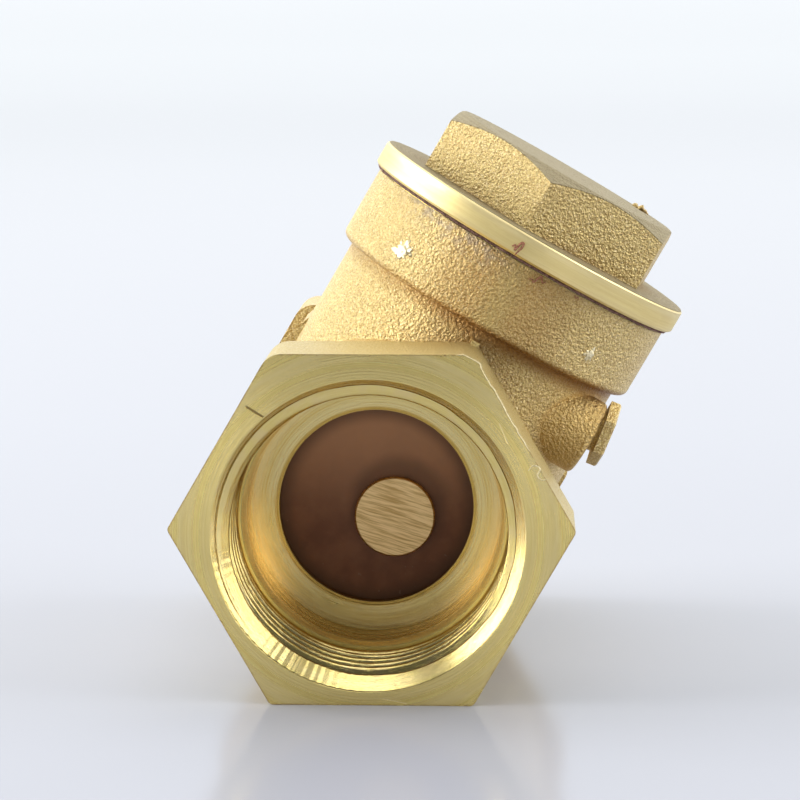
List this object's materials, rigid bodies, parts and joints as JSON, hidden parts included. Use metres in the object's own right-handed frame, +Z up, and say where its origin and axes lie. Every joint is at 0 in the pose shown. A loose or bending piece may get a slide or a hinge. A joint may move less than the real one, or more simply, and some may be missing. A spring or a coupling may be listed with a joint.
{
  "type": "swing check valve",
  "caption": "Brass swing check valve with threaded hexagon ends, a screwed hexagon bonnet cap, and a hinged flapper with a rubber seal that lets flow pass one way.",
  "frame": {"origin": "centre of the inlet mouth, on the inlet face", "axes": "+Y along the flow from inlet to outlet, +Z up as the valve lies on a flat of its hexagon ends; the bonnet leans 30 degrees to +X"},
  "size_m": [0.057, 0.066, 0.0633],
  "materials": {
    "cast_brass": "shot-blasted casting with machined ends",
    "cap_brass": "shot-blasted hexagon with a turned flange",
    "plug_brass": "drawn and turned",
    "pin_brass": "drawn rod",
    "flapper_brass": "stamped and turned",
    "stud_brass": "sawn face",
    "seal_rubber": "smooth satin rubber",
    "gasket_fibre": "pressed fibre"
  },
  "bodies": {
    "body": {"valve_body": "cast_brass", "hinge_pin": "pin_brass", "pin_plug": "plug_brass"},
    "gasket": {"cap_gasket": "gasket_fibre"},
    "cap": {"bonnet_cap": "cap_brass"},
    "hanger": {"hinge_arm": "flapper_brass"},
    "disc": {"disc_holder": "flapper_brass", "seal_disc": "seal_rubber", "seal_stud": "stud_brass", "stud_washer": "flapper_brass", "stud_nut": "flapper_brass"}
  },
  "joints": [
    {"name": "flapper_swing", "type": "hinge", "parent": "body", "child": "hanger", "pos_m": [0.00945, 0.0232, 0.01637], "axis": [0.866, 0, -0.5], "range_deg": [0, 53]},
    {"name": "disc_spin", "type": "hinge", "parent": "hanger", "child": "disc", "pos_m": [0.00207, 0.025, -0.00142], "axis": [0, 1, 0], "continuous": true},
    {"name": "cap_lift", "type": "slide", "parent": "body", "child": "gasket", "axis": [0.5, 0, 0.866], "range_m": [0, 0.007]},
    {"name": "cap_turn", "type": "hinge", "parent": "gasket", "child": "cap", "pos_m": [0.01725, 0.032, 0.02988], "axis": [0.5, 0, 0.866], "range_deg": [0, 1265]}
  ],
  "couplings": [
    {"joint": "cap_turn", "follows": "cap_lift", "rad_per_m": 3141.6}
  ]
}
